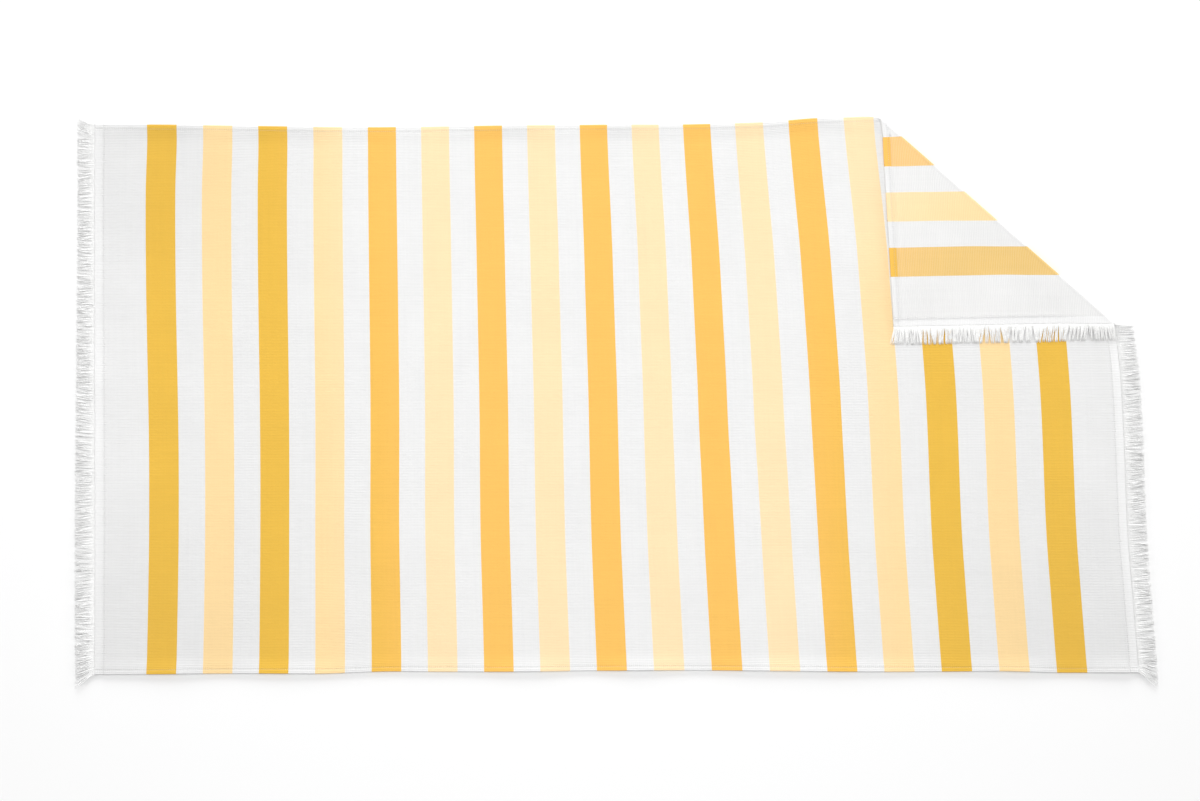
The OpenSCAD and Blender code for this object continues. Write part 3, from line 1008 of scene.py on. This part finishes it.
# Which body each piece moves with, which solids it stands for, and which finish it takes.
rows = [
    ("whiteGround", "towel", "white_cotton", ["white_ground"]),
    ("goldStripes", "towel", "gold_cotton", ["gold_stripes"]),
    ("paleStripes", "towel", "pale_cotton", ["pale_stripes"]),
    ("leftEndBand", "towel", "white_cotton", ["left_end_band"]),
    ("rightEndBand", "towel", "white_cotton", ["right_end_band"]),
    ("leftHeading", "towel", "white_heading", ["left_heading"]),
    ("rightHeading", "towel", "white_heading", ["right_heading"]),
    ("leftFringe", "towel", "fringe_yarn", ["left_fringe"]),
    ("rightFringe", "towel", "fringe_yarn", ["right_fringe"]),
    ("nearHemStitches", "towel", "sewing_thread", ["near_hem_thread"]),
    ("farHemStitches", "towel", "sewing_thread", ["far_hem_thread"]),
    ("leftEndStitches", "towel", "sewing_thread", ["left_end_thread"]),
    ("rightEndStitches", "towel", "sewing_thread", ["right_end_thread"]),
    ("cornerWhite", "corner", "white_cotton", ["corner_white_ground"]),
    ("cornerGold", "corner", "gold_cotton", ["corner_gold_stripes"]),
    ("cornerPale", "corner", "pale_cotton", ["corner_pale_stripe"]),
    ("cornerEndBand", "corner", "white_cotton", ["corner_end_band"]),
    ("cornerHeading", "corner", "white_heading", ["corner_heading"]),
    ("cornerFringe", "corner", "fringe_yarn", ["corner_fringe"]),
    ("cornerHemStitches", "corner", "sewing_thread", ["corner_hem_thread"]),
    ("cornerEndStitches", "corner", "sewing_thread", ["corner_end_thread"]),
    ("creaseWhite", None, "white_cotton", ["crease_white"]),
    ("creaseGold", None, "gold_cotton", ["crease_gold"]),
    ("creasePale", None, "pale_cotton", ["crease_pale"]),
    ("creaseHeading", None, "white_heading", []),
    ("creaseStitches", None, "sewing_thread", []),
]
made = {**cloth, **heading, **stitches, **fringes}
for name, body, slotName, nodes in rows:
    piece = made[name]
    if body:
        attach(piece, body)
    else:
        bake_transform(piece)
    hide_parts(*nodes)


# The pale floor, the soft light and the camera straight above.
studio = {
    "floor": (0.902, 0.902, 0.902, 1.0),
    "floorHalf": 60.0,
    "floorDrop": 0.0001,
    "floorRoughness": 0.9,
    "floorSpecular": 0.1,
    "sky": 0.44,
    "topPlace": (-0.05, 0.6, 2.9),
    "topPower": 35.0,
    "topSize": 1.7,
    "lowPowers": {"far": 2.2, "left": 1.0, "right": 1.1},
    "lowHeight": 17,
    "lowSoft": 24,
    "height": 2.722,
    "lens": 50,
    "aim": (-0.0278, -0.0049),
}


def softLight(name, place, target, size, power):
    # A round lamp, tipped from straight down by the angle between the vertical and its aim.
    lamp = bpy.data.lights.new(name, "AREA")
    lamp.shape = "DISK"
    lamp.size = size
    lamp.energy = power
    holder = bpy.data.objects.new(name, lamp)
    bpy.context.scene.collection.objects.link(holder)
    holder.location = place
    aim = np.array(target) - np.array(place)
    holder.rotation_euler = (math.atan2(math.hypot(aim[0], aim[1]), -aim[2]), 0, math.atan2(aim[0], -aim[1]))


def lowLight(name, around, power):
    # A broad even light from low down, turned about the vertical from the far side, which draws the soft shadows.
    lamp = bpy.data.lights.new(name, "SUN")
    lamp.angle = math.radians(studio["lowSoft"])
    lamp.energy = power
    holder = bpy.data.objects.new(name, lamp)
    bpy.context.scene.collection.objects.link(holder)
    holder.rotation_euler = (math.radians(studio["lowHeight"] - 90), 0, math.radians(around))


floorMesh = bpy.data.meshes.new("floor")
side = studio["floorHalf"]
floorMesh.from_pydata([(-side, -side, 0), (side, -side, 0), (side, side, 0), (-side, side, 0)], [], [(0, 1, 2, 3)])
floor = bpy.data.objects.new("floor", floorMesh)
bpy.context.scene.collection.objects.link(floor)
floor.location.z = -studio["floorDrop"]
floorPaint, _, floorShader = newMaterial("pale floor")
floorShader.inputs["Base Color"].default_value = studio["floor"]
floorShader.inputs["Roughness"].default_value = studio["floorRoughness"]
floorShader.inputs["Specular IOR Level"].default_value = studio["floorSpecular"]
floorMesh.materials.append(floorPaint)

world = bpy.data.worlds.new("studio")
world.use_nodes = True
world.node_tree.nodes["Background"].inputs["Color"].default_value = (1, 1, 1, 1)
world.node_tree.nodes["Background"].inputs["Strength"].default_value = studio["sky"]
bpy.context.scene.world = world
softLight("topLight", studio["topPlace"], (0, 0, 0), studio["topSize"], studio["topPower"])
lowLight("farLight", 0, studio["lowPowers"]["far"])
lowLight("leftLight", 90, studio["lowPowers"]["left"])
lowLight("rightLight", -90, studio["lowPowers"]["right"])

lens = bpy.data.cameras.new("camera")
lens.lens = studio["lens"]
camera = bpy.data.objects.new("camera", lens)
bpy.context.scene.collection.objects.link(camera)
camera.location = (*studio["aim"], studio["height"])
bpy.context.scene.camera = camera
bpy.context.scene.view_settings.view_transform = "Standard"
print("floor, lights and camera set")
